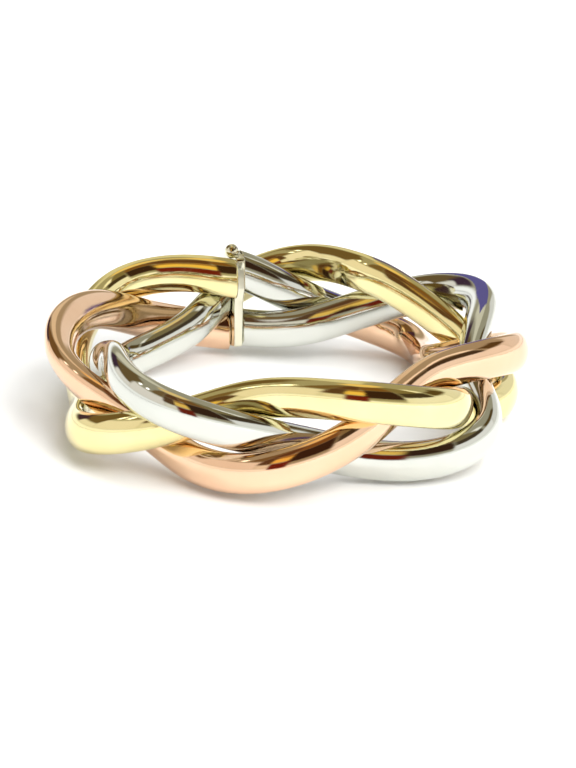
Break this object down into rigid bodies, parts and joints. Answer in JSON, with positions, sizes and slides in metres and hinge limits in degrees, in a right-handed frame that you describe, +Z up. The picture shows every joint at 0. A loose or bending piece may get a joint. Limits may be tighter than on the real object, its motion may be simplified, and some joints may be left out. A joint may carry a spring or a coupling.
{
  "type": "braided band ring",
  "caption": "closed finger ring plaited from oval gold strands in yellow, white and rose, joined at a thin upright plate with a small round knob",
  "frame": {"origin": "under the middle of the band's box, on the surface that the ring lies on", "axes": "+Z is up and is the finger's axis, as the ring lies on its side; -Y is the front, which the picture shows nearest; +X is to the picture's right; the joint plate is at the back, a little to -X"},
  "size_m": [0.0244, 0.0244, 0.0064],
  "materials": {
    "yellow_gold": "polished yellow gold",
    "white_gold": "polished white gold",
    "rose_gold": "polished rose gold",
    "plate_gold": "polished pale gold"
  },
  "bodies": {
    "root": {"strand_yellow": "yellow_gold", "strand_white": "white_gold", "strand_rose": "rose_gold", "joint_plate": "plate_gold"}
  },
  "joints": []
}
